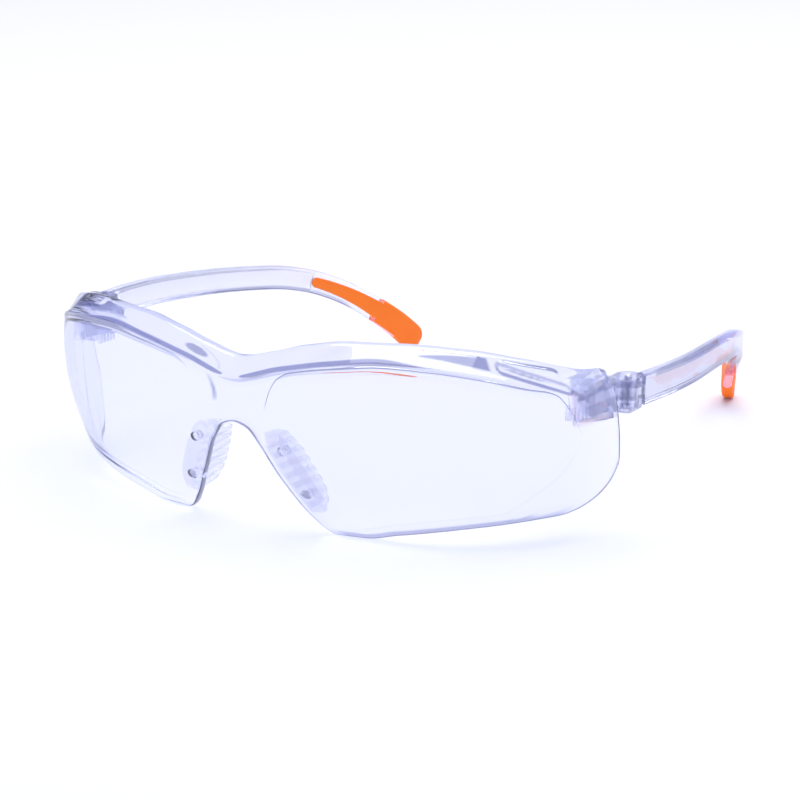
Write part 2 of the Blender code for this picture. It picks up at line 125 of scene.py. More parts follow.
PLAN_STEP = 0.05
PLAN_T = np.arange(0, SIDE_LENGTH + 10, PLAN_STEP)
PLAN_TURN = heading(PLAN_T + PLAN_STEP / 2)
PLAN_X = np.concatenate([[0], np.cumsum(np.cos(PLAN_TURN) * PLAN_STEP)[:-1]])
PLAN_Y = np.concatenate([[0], np.cumsum(np.sin(PLAN_TURN) * PLAN_STEP)[:-1]])


def on_visor(t, z, depth):
    """Points (..., 3) at signed distance t, height z and depth behind the outer face."""
    side, t = np.sign(t), np.abs(t)
    turn = heading(t)
    inward = BULGE * (z - MID_HEIGHT) ** 2 / 2 + depth
    x = np.interp(t, PLAN_T, PLAN_X) - np.sin(turn) * inward
    y = np.interp(t, PLAN_T, PLAN_Y) + np.cos(turn) * inward - LEAN * (z - MID_HEIGHT)
    return np.stack([side * x, y, z + 0 * t], axis=-1)


def visor_point(t, z, depth):
    """One point of on_visor, as a tuple."""
    return tuple(float(value) for value in on_visor(np.array(t), np.array(z), np.array(depth)))


def smooth(low, high, x):
    """From 0 at low to 1 at high, along an S curve."""
    u = np.clip((x - low) / (high - low), 0, 1)
    return u * u * (3 - 2 * u)


def new_object(name, data):
    """An object in the scene that holds the data."""
    item = bpy.data.objects.new(name, data)
    bpy.context.scene.collection.objects.link(item)
    return item


def smoothed(mesh, sharp):
    """Smooth shading, except across edges sharper than the angle in degrees."""
    mesh.shade_smooth()
    mesh.set_sharp_from_angle(angle=math.radians(sharp))
    return mesh


def mesh_object(name, points, faces, sharp=40):
    """A mesh object from points in millimetres in the visor's frame."""
    mesh = bpy.data.meshes.new(name)
    placed = (np.asarray(points, float).reshape(-1, 3) - (0, CENTRE_Y, 0)) * MM
    mesh.from_pydata(placed.tolist(), [], faces)
    made = bmesh.new()
    made.from_mesh(mesh)
    bmesh.ops.recalc_face_normals(made, faces=made.faces)
    made.to_mesh(mesh)
    made.free()
    return new_object(name, smoothed(mesh, sharp))


def grid_faces(rings, around):
    """Faces between rings with the same number of points, and a cap at each end."""
    faces = []
    for i in range(rings - 1):
        for j in range(around):
            k = (j + 1) % around
            faces.append((i * around + j, i * around + k, (i + 1) * around + k, (i + 1) * around + j))
    faces.append(tuple(range(around)))
    faces.append(tuple((rings - 1) * around + j for j in range(around)))
    return faces


def lofted(name, rings, sharp=40):
    """A closed body through rings (rings, around, 3) with flat ends."""
    rings = np.asarray(rings, float)
    return mesh_object(name, rings, grid_faces(rings.shape[0], rings.shape[1]), sharp)


def combine(item, operation, others, sharp=35):
    """Joins to or cuts from item the given objects, which are used up."""
    for other in others:
        step = item.modifiers.new("step", "BOOLEAN")
        step.operation, step.object, step.solver = operation, other, "MANIFOLD"
    graph = bpy.context.evaluated_depsgraph_get()
    mesh = bpy.data.meshes.new_from_object(item.evaluated_get(graph))
    item.modifiers.clear()
    item.data = smoothed(mesh, sharp)
    for other in others:
        bpy.data.objects.remove(other)
    return item


def bend(a, corner, b, cut, count):
    """Rows that round the corner between rows a and b, starting and ending cut millimetres from it."""
    to_a = (a - corner) / np.linalg.norm(a - corner, axis=-1, keepdims=True)
    to_b = (b - corner) / np.linalg.norm(b - corner, axis=-1, keepdims=True)
    start, end = corner + to_a * cut, corner + to_b * cut
    us = np.linspace(0, 1, count)
    return [(1 - u) ** 2 * start + 2 * u * (1 - u) * corner + u * u * end for u in us]


def between(a, b, count):
    """Rows strictly between two rows."""
    return [a + (b - a) * (i + 1) / (count + 1) for i in range(count)]


def pair(z, depth):
    """A row of (height, depth) points."""
    return np.stack(np.broadcast_arrays(np.asarray(z, float), np.asarray(depth, float)), axis=-1)


# Hinge lug on the visor's inner face: its lower edge, its upper edge and the rib seen through its face, as
# (distance from the middle, height)
LUG_LOW = [(78.5, 31.2), (80.5, 28.2), (82.5, 27.2), (91, 26.8)]
LUG_HIGH = [(78.5, 32.2), (80.5, 33.8), (83, 34.9), (88, 36.2), (91, 36.6)]
LUG_RIB = [(80, 32.7), (84, 33.2), (87, 33.9), (90, 35.2), (92, 36.5)]
LUG_START, LUG_FULL, LUG_END = 78.6, 81.5, 90.6
LUG_INNER_X = 61.6
LUG_ROOT = 0.55  # how deep in the visor's wall the lug begins
TILT_Y, HINGE_Z, HINGE_HALF = 38.5, 31.0, 3.6
SLOT_X = (63.6, 66.5)
SLOT_RADIUS = 3.6
SLOT_END_Y, SLOT_LOW = 52.0, 25.6
COMB_TEETH, COMB_START, COMB_PITCH, COMB_WIDTH = 5, 35.6, 1.3, 0.7
# Hinge carrier, pin and knuckle
TONGUE_X = (63.9, 66.2)
TONGUE_HALF = 3.3
TRUNNION_RADIUS = 1.6
BRIDGE_Y = (44.4, 46.4)
FORK_THICKNESS = 2.1
PIN_X, PIN_Y, PIN_RADIUS = 69.8, 50.0, 0.8
KNUCKLE_RADIUS = 3.2
KNUCKLE_REACH = KNUCKLE_RADIUS + 0.35  # of the room for it in the fork and the arm
BORE_RADIUS = PIN_RADIUS + 0.12
# Temple centre line, from the hinge to the tip
TEMPLE_PATH = [(71.7, 53.9, 31.0), (72.5, 65, 30.7), (72.1, 78, 30.1), (69.5, 95.5, 28.8)]
TEMPLE_PATH += [(66.4, 111.2, 27.0), (63.6, 122.4, 25.2), (60.0, 133.3, 21.9), (54.9, 143.4, 16.6)]
TEMPLE_PATH += [(49.6, 153.4, 9.1), (46.4, 162.4, 1.35)]
TEMPLE_HALF_HEIGHT = [(0, 3.4), (50, 3.1), (85, 3.1), (118, 3.5)]
TEMPLE_HALF_THICKNESS = 1.6
TEMPLE_CORNER = 0.9
RIM_HEIGHT = 1.1  # of the rims beside the channels in the arm's faces
TONGUE_START, SLEEVE_START, CORE_END = 77.6, 102.0, 111.5  # distances along the temple
SOFT_DEPTH = 1.1
CORE_HALF_THICKNESS, CORE_TOP, CORE_ROUND = 1.15, 1.2, 1.8
TIP_ROUND = 4.2
TIP_POWER = 2.3  # 2 would make the tip's end a half circle
# Nose pads
PAD_LOW, PAD_HIGH = 5.8, 24.0
PAD_RIBS = 8
PAD_OFFSET, PAD_FLANGE, PAD_DEPTH, PAD_LEAN = 0.8, 6.6, 9.4, 0.12
PEGS = [(11.2, 20.2), (14.9, 10.2)]
PEG_RADIUS = 1.0


def edge_slope(t):
    """How much longer the lower edge's rounding is in height than across the edge."""
    return np.minimum(np.hypot(1, np.gradient(lower_edge(t), t)), STEEPEST)


def rim_rows(low, rim, wall):
    """The rounded lower edge, from the inner face to the outer face."""
    rounding = np.minimum(EDGE_ROUND, wall / 2 - 0.05)
    rows = [pair(low + rim * (1 - np.sin(a)), wall - rounding * (1 - np.cos(a))) for a in QUARTER]
    return rows + [pair(low + rim * (1 - np.sin(a)), rounding * (1 - np.cos(a))) for a in QUARTER[::-1]]


def face_rows(t, start, ridge):
    """The outer face from the height start to the ridge, with the shallow recess of the optical zone."""
    end = ridge - 0.5
    low, top = lower_edge(t) + zone_rise(t), ridge - zone_drop(t)
    is_open = top - low > 1.0
    middle = np.clip((low + top) / 2, start + 1.2, end - 1.2)
    low, top = np.where(is_open, low, middle - 0.5), np.where(is_open, top, middle + 0.5)
    deep = ZONE_DEPTH * smooth(7.6, 9.5, t) * (1 - smooth(80.5, 81.5, t)) * smooth(0.8, 2.5, top - low)
    framed = smooth(19, 24, t)
    top_half = ZONE_EDGE / 2
    low_half = top_half + (ZONE_LOW_EDGE - ZONE_EDGE) / 2 * smooth(19, 26, t)
    steps = (-1, -0.6, -0.2, 0.2, 0.6, 1)
    heights = inner_points(start, low - low_half, 7)
    heights += [low + low_half * step for step in steps]
    heights += inner_points(low + low_half, top - top_half, 21)
    heights += [top + top_half * step for step in steps]
    heights += inner_points(top + top_half, end, 25)
    rows = []
    for z in heights:
        above_low = framed * smooth(-1, 1, (z - low) / low_half) + (1 - framed) * smooth(-2, 6, z - low)
        rows.append(pair(z, deep * above_low * smooth(-top_half, top_half, top - z)))
    return rows + [pair(ridge - drop, 0) for drop in (0.5, 0.35)]


def inner_points(start, end, parts):
    """The points that divide the stretch from start to end into equal parts."""
    return [start + (end - start) * f for f in np.linspace(0, 1, parts + 1)[1:-1]]


def brow_rows(ridge, shoulder, crest, rear, root):
    """The brow's front and top, from the ridge to the top edge's rear corner."""
    foot = pair(ridge, 0)
    rows = bend(pair(ridge - 3, 0), foot, shoulder, 0.22, 4)
    rows += between(rows[-1], foot + (shoulder - foot) * 0.8, 6)
    rows += bend(foot, shoulder, crest, 0.22, 4)
    rows += between(rows[-1], crest + (shoulder - crest) * 0.15, 12)
    rows += bend(shoulder, crest, rear, 0.7, 7)
    rows += between(rows[-1], rear + (crest - rear) * 0.3, 1)
    return rows + bend(crest, rear, root, 0.6, 7)


def brow_back_rows(t, upper, rear, root):
    """The back of the brow below the row upper, with its pockets."""
    lower = root + (rear - root) * 0.3
    down = (root - rear) / np.linalg.norm(root - rear, axis=-1, keepdims=True)
    outward = np.stack([down[..., 1], -down[..., 0]], axis=-1)
    pocket = sum(depth * smooth(a, a + 3.0, t) * (1 - smooth(b - 2.0, b, t)) for a, b, depth in POCKETS)
    rows = []
    for v in np.linspace(0, 1, 17)[1:]:
        dent = np.sin(np.pi * smooth(0.05, 0.95, v)) ** 2
        rows.append(upper + (lower - upper) * v - outward * (pocket * dent)[..., None])
    return rows


def visor_profile(t):
    """The visor cut across at distances t: an array (sections, points, 2) of height and depth, from the inner
    corner of the lower edge round the outer face, over the brow and down the inner face."""
    low, ridge, top, back = lower_edge(t), ridge_at(t), top_at(t), setback_at(t)
    rim = EDGE_ROUND * edge_slope(t)
    wall = WALL + (REAR_WALL - WALL) * smooth(74, 91, t)
    shoulder = pair(ridge + RIDGE_STEP, RIDGE_STEP)
    crest, rear = pair(top - 0.1, back + 0.35), pair(top - 0.1, back + 2.9)
    root, inner = pair(ridge - 1.0, wall), pair(ridge - 5, wall)
    rows = rim_rows(low, rim, wall) + face_rows(t, low + rim, ridge)
    rows += brow_rows(ridge, shoulder, crest, rear, root)
    rows += brow_back_rows(t, rows[-1], rear, root)
    rows += bend(rear, root, inner, 1.7, 9)
    rows += between(rows[-1], pair(low + rim, wall), 16)
    return np.stack(rows, axis=1)


def shrunk(section, inset):
    """A section (points, 2) moved inwards by inset."""
    ahead, behind = np.roll(section, -1, axis=0), np.roll(section, 1, axis=0)
    along = ahead - behind
    along /= np.maximum(np.linalg.norm(along, axis=-1, keepdims=True), 1e-9)
    return section - np.stack([along[:, 1], -along[:, 0]], axis=-1) * inset


def visor_shell():
    """The whole visor without its lugs: evenly cut in front, finely cut towards its rounded rear edges."""
    t = np.concatenate([np.arange(0, 72, 0.4), 72 + 19.4 * np.sin(np.linspace(0, np.pi / 2, 60))])
    sections = visor_profile(t)
    rings = [on_visor(np.full(len(s), d), s[:, 0], s[:, 1]) for d, s in zip(t, sections)]
    for a in np.radians([25, 45, 65, 90]):
        s = shrunk(sections[-1], REAR_ROUND * (1 - math.cos(a)))
        d = t[-1] + REAR_ROUND * math.sin(a)
        rings.append(on_visor(np.full(len(s), d), s[:, 0], s[:, 1]))
    rings = np.array(rings)
    mirrored = rings[:0:-1] * (-1, 1, 1)
    return lofted("visor_shell", np.concatenate([mirrored, rings]))


def place_on_visor(points):
    """Signed distance t, height and depth of points (n, 3): the inverse of on_visor."""
    side = np.where(points[:, 0] < 0, -1.0, 1.0)
    x, y, z = np.abs(points[:, 0]), points[:, 1], points[:, 2]
    t = np.clip(x, 0, SIDE_LENGTH)
    for _ in range(40):
        turn = heading(t)
        away_x = x - np.interp(t, PLAN_T, PLAN_X)
        away_y = y + LEAN * (z - MID_HEIGHT) - np.interp(t, PLAN_T, PLAN_Y)
        t = np.clip(t + 0.8 * (away_x * np.cos(turn) + away_y * np.sin(turn)), 0, SIDE_LENGTH + 5)
    turn = heading(t)
    depth = away_y * np.cos(turn) - away_x * np.sin(turn) - BULGE * (z - MID_HEIGHT) ** 2 / 2
    return side * t, z, depth


def prism(name, outline, axis, start, end, bevel=0.0, segments=3):
    """A straight body from a 2D outline: along x with (y, z) points, or along z with (x, y) points."""
    made = bmesh.new()
    ends = []
    for level in (start, end):
        if axis == "x":
            ends.append([made.verts.new((level, a, b)) for a, b in outline])
        else:
            ends.append([made.verts.new((a, b, level)) for a, b in outline])
    for i in range(len(outline)):
        j = (i + 1) % len(outline)
        made.faces.new((ends[0][i], ends[0][j], ends[1][j], ends[1][i]))
    caps = [made.faces.new(ring) for ring in ends]
    bmesh.ops.recalc_face_normals(made, faces=made.faces)
    if bevel:
        edges = {edge for cap in caps for edge in cap.edges}
        for edge in made.edges:
            if edge not in edges and edge.calc_face_angle(0) > math.radians(40):
                edges.add(edge)
        bmesh.ops.bevel(made, geom=list(edges), offset=bevel, segments=segments, profile=0.5, affect="EDGES")
    return from_bmesh(name, made)


def from_bmesh(name, made):
    """A mesh object from a bmesh in millimetres in the visor's frame, which is used up."""
    for vertex in made.verts:
        vertex.co = (vertex.co - Vector((0, CENTRE_Y, 0))) * MM
    bmesh.ops.recalc_face_normals(made, faces=made.faces)
    mesh = bpy.data.meshes.new(name)
    made.to_mesh(mesh)
    made.free()
    return new_object(name, smoothed(mesh, 35))


def turned(name, start, end, profile, segments=48):
    """A body of revolution about the line from start to end: profile of (distance along it, radius)."""
    start, end = np.array(start, float), np.array(end, float)
    along = (end - start) / np.linalg.norm(end - start)
    side = np.cross(along, (0, 0, 1) if abs(along[2]) < 0.9 else (1, 0, 0))
    side /= np.linalg.norm(side)
    other = np.cross(along, side)
    angles = np.linspace(0, 2 * np.pi, segments, endpoint=False)[:, None]
    rings = [start + along * d + (side * np.cos(angles) + other * np.sin(angles)) * r for d, r in profile]
    return lofted(name, rings)


def rod(name, start, end, radius, segments=48):
    """A straight cylinder."""
    length = float(np.linalg.norm(np.subtract(end, start)))
    return turned(name, start, end, [(0, radius), (length, radius)], segments)


def circle(centre, radius, start, end, steps):
    """Points on a circle between two angles in degrees."""
    turns = [math.radians(start + (end - start) * i / steps) for i in range(steps + 1)]
    return [(centre[0] + radius * math.cos(a), centre[1] + radius * math.sin(a)) for a in turns]


def mirrored_copy(item, name):
    """The same piece on the other side."""
    mesh = item.data.copy()
    mesh.transform(Matrix.Scale(-1, 4, (1, 0, 0)))
    mesh.flip_normals()
    return new_object(name, mesh)


def both_sides(item, operation, others):
    """Joins or cuts the given objects and their mirror images."""
    combine(item, operation, others + [mirrored_copy(other, "other_side") for other in others])


def design_points(item):
    """The item's vertices in millimetres in the visor's frame."""
    flat = np.empty(len(item.data.vertices) * 3)
    item.data.vertices.foreach_get("co", flat)
    return flat.reshape(-1, 3) / MM + (0, CENTRE_Y, 0)


def paint(item, values, name="tint"):
    """Stores one value for each vertex, which the clear plastic's material reads."""
    layer = item.data.attributes.new(name, "FLOAT", "POINT")
    layer.data.foreach_set("value", np.clip(values, 0, 1).astype(float))
    return item


lug_low_at, lug_high_at, rib_at = through(LUG_LOW), through(LUG_HIGH), through(LUG_RIB)


def lug():
    """The wedge-shaped lug that carries the hinge, rounded along its inner edges."""
    rings = []
    for t in [*np.linspace(LUG_START, LUG_FULL, 10)[:-1], *np.linspace(LUG_FULL, LUG_END, 18)]:
        low, high = float(lug_low_at(t)), float(lug_high_at(t))
        grown = float(smooth(LUG_START - 0.6, LUG_FULL + 3.0, t))
        wall = visor_point(t, HINGE_Z, REAR_WALL)[0]
        inner = wall - 0.3 + (LUG_INNER_X - wall + 0.3) * grown
        r = 0.45 * grown + 0.05
        ring = [visor_point(t, z, LUG_ROOT) for z in np.linspace(low, high, 8)]
        top_y, bottom_y = ring[-1][1], ring[0][1]
        corner = [(inner + r * (1 - np.sin(a)), r * (1 - np.cos(a))) for a in QUARTER]
        ring += [(x, top_y, high - drop) for x, drop in corner]
        ring += [(x, bottom_y, low + rise) for x, rise in reversed(corner)]
        rings.append(ring)
    return lofted("lug", rings)


def comb_tooth(i):
    """One tooth of the comb under the lug, which the hinge clicks along."""
    low_x, high_x = LUG_INNER_X - 0.6, LUG_INNER_X + 0.7
    start = COMB_START + i * COMB_PITCH
    end = start + COMB_WIDTH
    outline = [(low_x, start), (high_x, start), (high_x, end), (low_x, end)]
    return prism("tooth", outline, "z", 26.5, 29.8, 0.18, 2)


def hinge_slot():
    """The slot in the lug for the carrier's tongue, open below and to the rear."""
    outline = circle((TILT_Y, HINGE_Z), SLOT_RADIUS, 90, 180, 14)
    outline += [(TILT_Y - SLOT_RADIUS, SLOT_LOW), (SLOT_END_Y, SLOT_LOW), (SLOT_END_Y, HINGE_Z + SLOT_RADIUS)]
    return prism("slot", outline, "x", *SLOT_X)


def visor():
    """The one-piece lens with its lugs and combs, and with the holes for the pegs and trunnions."""
    item = visor_shell()
    both_sides(item, "UNION", [lug()] + [comb_tooth(i) for i in range(COMB_TEETH)])
    cuts = [hinge_slot()]
    cuts.append(rod("hole", (58, TILT_Y, HINGE_Z), (65, TILT_Y, HINGE_Z), TRUNNION_RADIUS + 0.15))
    for t, z in PEGS:
        ends = [visor_point(t, z, depth) for depth in (1.2, WALL + 1.5)]
        cuts.append(rod("peg_hole", *ends, PEG_RADIUS + 0.1, 32))
    both_sides(item, "DIFFERENCE", cuts)
    return item


def rounded(points, cuts, steps):
    """A polygon with each corner rounded over its own distance."""
    points = np.array(points, float)
    found = []
    for i, corner in enumerate(points):
        before, after = points[i - 1] - corner, points[(i + 1) % len(points)] - corner
        ends = []
        for edge in (before, after):
            length = max(np.linalg.norm(edge), 1e-6)
            ends.append(corner + edge / length * min(cuts[i], 0.48 * length))
        for u in np.linspace(0, 1, steps):
            found.append((1 - u) ** 2 * ends[0] + 2 * u * (1 - u) * corner + u * u * ends[1])
    return np.array(found)


ARCH_T = np.linspace(0, 20.5, 300)
ARCH_Z = lower_edge(ARCH_T)


def arch_distance(z):
    """How far from the middle the nose arch's edge is at height z, or at its narrow part above that."""
    return np.interp(-np.minimum(z, 20.6), -ARCH_Z, ARCH_T)


def pad_ring(z):
    """The nose pad cut across at one height: a flange on the lens and a web that leans away from the nose."""
    along = (z - PAD_LOW) / (PAD_HIGH - PAD_LOW)
    end = math.sqrt(max(1 - abs(2 * along - 1) ** 3, 0.03))
    rib = 0.5 * (abs(math.sin(math.pi * PAD_RIBS * along)) - 0.5)
    depth = PAD_DEPTH * (0.25 + 0.75 * end) + rib * 0.9
    root = float(arch_distance(z)) + PAD_OFFSET
    lean = PAD_LEAN * depth
    flange = PAD_FLANGE * (0.35 + 0.65 * end)
    edge = 0.12 * rib
    outline = [(0, 0.02), (flange, 0.02), (flange, 0.9 + edge), (2.6, 1.0 + edge)]
    outline += [(lean + 1.7, depth * 0.85), (lean + 1.1, depth), (lean + 0.3, depth)]
    outline += [(lean * 0.85 - rib, depth * 0.85), (lean * 0.5 - rib, depth * 0.5), (0.1, 1.5)]
    cuts = [0.2, 0.3, 0.3, 1.2, 1.0, 0.3, 0.3, 1.0, 1.0, 0.5]
    section = rounded(outline, cuts, 4)
    t = root + section[:, 0]
    return on_visor(t, np.full(len(t), z), WALL + 0.2 + section[:, 1])


def nose_pad():
    """The ribbed pad with its round-headed pegs."""
    item = lofted("pad", [pad_ring(z) for z in np.linspace(PAD_LOW, PAD_HIGH, 161)], 50)
    pegs = []
    for t, z in PEGS:
        ends = [visor_point(t, z, depth) for depth in (1.35, WALL + 2.1)]
        length = float(np.linalg.norm(np.subtract(ends[1], ends[0])))
        profile = [(0, PEG_RADIUS * 0.6), (0.15, PEG_RADIUS * 0.85), (0.4, PEG_RADIUS)]
        profile += [(length - distance, radius) for distance, radius in reversed(profile)]
        pegs.append(turned("peg", ends[0], ends[1], profile, 32))
    return combine(item, "UNION", pegs)


def hinge_carrier():
    """The tongue that tilts in the lug, the bridge behind it and the fork round the temple's knuckle."""
    low, high = HINGE_Z - HINGE_HALF, HINGE_Z + HINGE_HALF
    start, end = BRIDGE_Y
    outline = circle((TILT_Y, HINGE_Z), TONGUE_HALF, 90, 270, 28)
    outline += [(end - 0.4, HINGE_Z - TONGUE_HALF), (end - 0.4, HINGE_Z + TONGUE_HALF)]
    item = prism("carrier", outline, "x", *TONGUE_X, 0.3)
    inner_x, corner = TONGUE_X[0] + 0.1, 1.4
    plan = circle((PIN_X, PIN_Y), KNUCKLE_RADIUS, 0, 180, 36)
    plan += [(PIN_X - KNUCKLE_RADIUS, end + 0.9), (inner_x, end), (inner_x, start)]
    plan += circle((PIN_X + KNUCKLE_RADIUS - corner, start + corner), corner, -90, 0, 6)
    body = prism("body", plan, "z", low, high, 0.35)
    gap = circle((PIN_X, PIN_Y), KNUCKLE_REACH, 180, 360, 24)
    gap += [(PIN_X + KNUCKLE_REACH, PIN_Y + 9), (PIN_X - KNUCKLE_REACH, PIN_Y + 9)]
    cutter = prism("gap", gap, "z", low + FORK_THICKNESS, high - FORK_THICKNESS)
    combine(body, "DIFFERENCE", [cutter])
    trunnion = [(0, TRUNNION_RADIUS - 0.25), (0.25, TRUNNION_RADIUS), (4.0, TRUNNION_RADIUS)]
    ends = [(LUG_INNER_X + 0.3, TILT_Y, HINGE_Z), (LUG_INNER_X + 4.3, TILT_Y, HINGE_Z)]
    combine(item, "UNION", [body, turned("trunnion", *ends, trunnion)])
    bore = rod("bore", (PIN_X, PIN_Y, low - 2), (PIN_X, PIN_Y, high + 2), BORE_RADIUS)
    return combine(item, "DIFFERENCE", [bore])


def hinge_pin():
    """A straight pin with rounded ends and a shallow dimple in each."""
    half = HINGE_HALF - 0.2
    ends = [(0.25, 0.02), (0.12, PIN_RADIUS * 0.45), (0.02, PIN_RADIUS * 0.6), (0.04, PIN_RADIUS * 0.8)]
    ends.append((0.2, PIN_RADIUS))
    profile = ends + [(2 * half - distance, radius) for distance, radius in reversed(ends)]
    return turned("pin", (PIN_X, PIN_Y, HINGE_Z - half), (PIN_X, PIN_Y, HINGE_Z + half), profile, 64)


def temple_line(steps=480):
    """Distances along the temple's centre line and points on a smooth curve through its marks."""
    marks = [Vector(p) for p in TEMPLE_PATH]
    marks = [2 * marks[0] - marks[1]] + marks + [2 * marks[-1] - marks[-2]]
    points = []
    for i in range(steps + 1):
        u = i / steps * (len(marks) - 3)
        k = min(int(u), len(marks) - 4)
        a, b, c, d = marks[k : k + 4]
        u -= k
        twice = b * 2 + (c - a) * u + (a * 2 - b * 5 + c * 4 - d) * u**2 + (b * 3 - a - c * 3 + d) * u**3
        points.append(twice / 2)
    lengths = [(q - p).length for p, q in zip(points, points[1:])]
    return np.concatenate([[0], np.cumsum(lengths)]), np.array(points)


TEMPLE_S, TEMPLE_POINTS = temple_line()
TEMPLE_LENGTH = float(TEMPLE_S[-1])
temple_half_height = through(TEMPLE_HALF_HEIGHT)


def on_line(s):
    """The centre line's point at distance s."""
    return Vector([float(np.interp(s, TEMPLE_S, TEMPLE_POINTS[:, i])) for i in range(3)])


def temple_frame(s):
    """The centre line's place at distance s, with its outward and upward directions."""
    inside = min(max(s, 0), TEMPLE_LENGTH)
    place = on_line(inside)
    along = (on_line(inside + 1) - on_line(inside - 1)).normalized()
    out = along.cross(Vector((0, 0, 1))).normalized()
    return place + along * (s - inside), out, out.cross(along)


def on_temple(s, section):
    """Section points (outwards, upwards) placed across the centre line at distance s."""
    place, out, up = temple_frame(s)
    return [place + out * a + up * b for a, b in section]


def tongue_half(s):
    """Half the width of the soft tongue, which widens from its rounded start towards the sleeve."""
    widened = 0.62 + 0.38 * min((s - TONGUE_START) / (SLEEVE_START - TONGUE_START), 1)
    return (float(temple_half_height(s)) - 1.0) * widened * rounded_start(s, TONGUE_START, 1.6)


def rounded_start(s, start, length):
    """From 0 to 1 along a quarter circle."""
    u = min(max((s - start) / length, 0), 1)
    return math.sqrt(1 - (1 - u) ** 2)


def arm_ring(s):
    """The clear arm: shallow channels on its faces, a pocket for the soft tongue, then a bare core."""
    half, corner = float(temple_half_height(s)), TEMPLE_CORNER
    outer, inner, low, high = TEMPLE_HALF_THICKNESS, -TEMPLE_HALF_THICKNESS, -half, half
    # half width, depth and slope of the outer channel, then of the inner channel or pocket
    wide, deep, slope = half - RIM_HEIGHT, 0.06, 0.28
    inner_wide, inner_deep, inner_slope = wide, deep, slope
    if s > TONGUE_START:
        inner_wide, inner_deep, inner_slope = max(tongue_half(s), 0.08), SOFT_DEPTH + 0.06, 0.04
    if s > SLEEVE_START:
        end = max(rounded_start(CORE_END - s, 0, CORE_ROUND), 0.05)
        outer, inner, high, corner = CORE_HALF_THICKNESS * end, -CORE_HALF_THICKNESS * end, CORE_TOP, 0.3
        wide, deep, slope = 0.6, 0.01, 0.1
        inner_wide, inner_deep, inner_slope = wide, deep, 0.04
    floor, inner_floor = outer - deep, inner + inner_deep
    points = [(outer, low), (outer, -wide - slope), (floor, -wide), (floor, wide), (outer, wide + slope)]
    points += [(outer, high), (inner, high), (inner, inner_wide + inner_slope), (inner_floor, inner_wide)]
    points += [(inner_floor, -inner_wide), (inner, -inner_wide - inner_slope), (inner, low)]
    crown = min(corner * 1.6, 1.45)
    cuts = [corner, 0.12, 0.12, 0.12, 0.12, crown, crown, 0.05, 0.05, 0.05, 0.05, corner]
    return on_temple(s, rounded(points, cuts, 6))


def tip_ring(s):
    """The soft tip: a thin tongue in the arm's pocket, then the temple's whole section with a rounded end."""
    half, corner = float(temple_half_height(s)), TEMPLE_CORNER
    outer, inner = TEMPLE_HALF_THICKNESS, -TEMPLE_HALF_THICKNESS
    if s < SLEEVE_START + 0.05:
        half = tongue_half(s) - 0.03
        outer, corner = inner + SOFT_DEPTH, 0.12
    left = TEMPLE_LENGTH - s
    if left < TIP_ROUND:
        shrink = max(1 - (1 - left / TIP_ROUND) ** TIP_POWER, 0.003) ** (1 / TIP_POWER)
        half, corner = half * shrink, corner * shrink
        outer, inner = outer * (0.35 + 0.65 * shrink), inner * (0.35 + 0.65 * shrink)
    points = [(outer, half), (inner, half), (inner, -half), (outer, -half)]
    return on_temple(s, rounded(points, [corner] * 4, 8))


def slot_ring(s):
    """The slot along the tip's lower edge that shows the clear core."""
    end = max(rounded_start(CORE_END + 0.08 - s, 0, CORE_ROUND), 0.03)
    half, low, high = (CORE_HALF_THICKNESS + 0.06) * end, -float(temple_half_height(s)) - 1, CORE_TOP + 0.06
    points = [(-half, low), (half, low), (half, high), (-half, high)]
    return on_temple(s, rounded(points, [0.02, 0.02, 0.3, 0.3], 4))


def stations(start, end, spacing, jumps):
    """Distances from start to end, much closer together for the first stretch after each jump."""
    found = list(np.arange(start, end, spacing)) + [end]
    for jump, length in jumps:
        found = [s for s in found if not jump - 0.05 < s < jump + length]
        found += [jump - 0.02] + list(jump + 0.02 + length * np.linspace(0, 1, 14) ** 2)
    return sorted(s for s in found if start <= s <= end)


def towards_end(end, length, count):
    """Distances along the last stretch before a rounded end, closer and closer together."""
    return list(end - length * np.linspace(1, 0, count) ** 2)


def temple():
    """The arm with the knuckle that turns in the carrier's fork."""
    along = stations(-3.2, CORE_END, 0.9, [(TONGUE_START, 2.4), (SLEEVE_START, 0.4)])
    along = [s for s in along if s < CORE_END - CORE_ROUND] + towards_end(CORE_END, CORE_ROUND, 10)
    item = lofted("arm", [arm_ring(s) for s in along])
    axis = [(PIN_X, PIN_Y, HINGE_Z - 8), (PIN_X, PIN_Y, HINGE_Z + 8)]
    combine(item, "DIFFERENCE", [rod("scoop", *axis, KNUCKLE_REACH, 96)])
    half = HINGE_HALF - FORK_THICKNESS - 0.2
    knuckle = circle((PIN_X, PIN_Y), KNUCKLE_RADIUS, 80, 360, 56)
    knuckle += [(PIN_X + KNUCKLE_RADIUS, PIN_Y + 4.4), (PIN_X + 1.2, PIN_Y + 4.4)]
    combine(item, "UNION", [prism("knuckle", knuckle, "z", HINGE_Z - half, HINGE_Z + half)])
    return combine(item, "DIFFERENCE", [rod("bore", *axis, BORE_RADIUS)])


def temple_tip():
    """The soft tongue and sleeve, with a slot below that shows the arm's core."""
    start = TONGUE_START + 0.1
    along = stations(start, TEMPLE_LENGTH, 0.8, [(TONGUE_START, 2.4), (SLEEVE_START + 0.05, 0.4)])
    along = [s for s in along if s < TEMPLE_LENGTH - TIP_ROUND]
    along += towards_end(TEMPLE_LENGTH, TIP_ROUND, 30)
    item = lofted("tip", [tip_ring(s) for s in along], 50)
    along = list(np.arange(SLEEVE_START - 0.1, CORE_END - CORE_ROUND, 0.6))
    along += towards_end(CORE_END + 0.08, CORE_ROUND, 12)
    return combine(item, "DIFFERENCE", [lofted("slot", [slot_ring(s) for s in along])], sharp=50)


